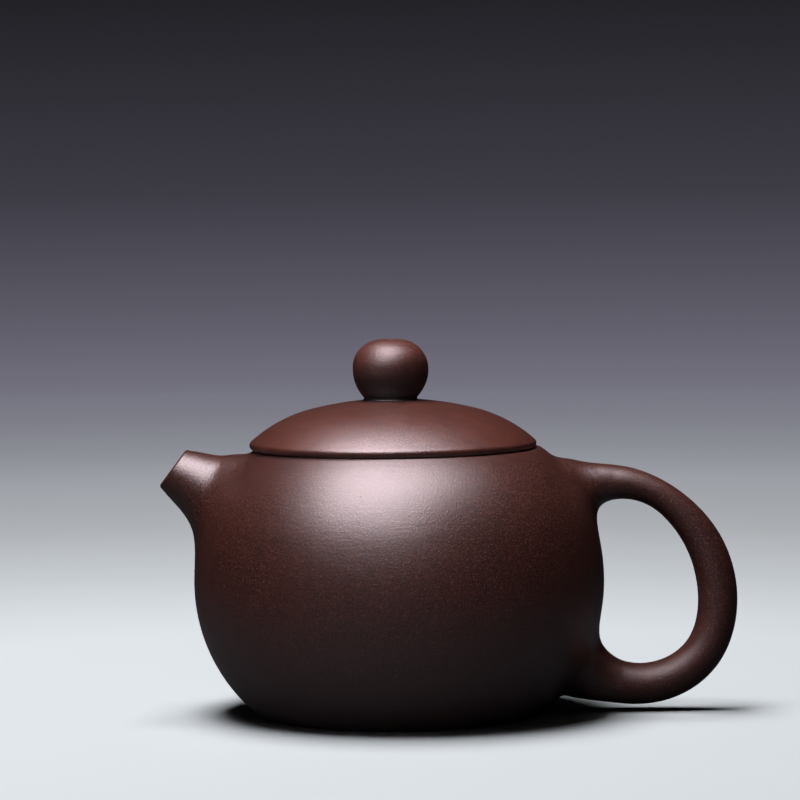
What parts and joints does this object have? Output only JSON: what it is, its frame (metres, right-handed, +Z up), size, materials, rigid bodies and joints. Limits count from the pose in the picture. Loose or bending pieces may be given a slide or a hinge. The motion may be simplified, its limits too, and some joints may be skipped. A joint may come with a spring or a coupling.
{
  "type": "teapot",
  "caption": "Round-bellied unglazed clay teapot with a short spout, an ear handle, a domed lid that lifts and turns, and a ball knob.",
  "frame": {"origin": "on the pot's axis, in the plane of the foot ring that it stands on", "axes": "+Z up along the pot's axis, +X towards the handle, the spout points along -X"},
  "size_m": [0.1264, 0.09, 0.0822],
  "materials": {
    "clay": "unglazed purple-brown stoneware, burnished to a soft satin"
  },
  "bodies": {
    "pot": {"belly_wall": "clay", "base_disc": "clay", "mouth_ring": "clay", "spout": "clay", "ball_strainer": "clay", "handle": "clay"},
    "lid_ring": {"lid_flange": "clay"},
    "lid": {"lid_plate": "clay", "knob": "clay"}
  },
  "joints": [
    {"name": "lid_lift", "type": "slide", "parent": "pot", "child": "lid_ring", "axis": [0, 0, 1], "range_m": [0, 0.06]},
    {"name": "lid_turn", "type": "hinge", "parent": "lid_ring", "child": "lid", "pos_m": [0, 0, 0.0582], "axis": [0, 0, 1], "continuous": true}
  ]
}
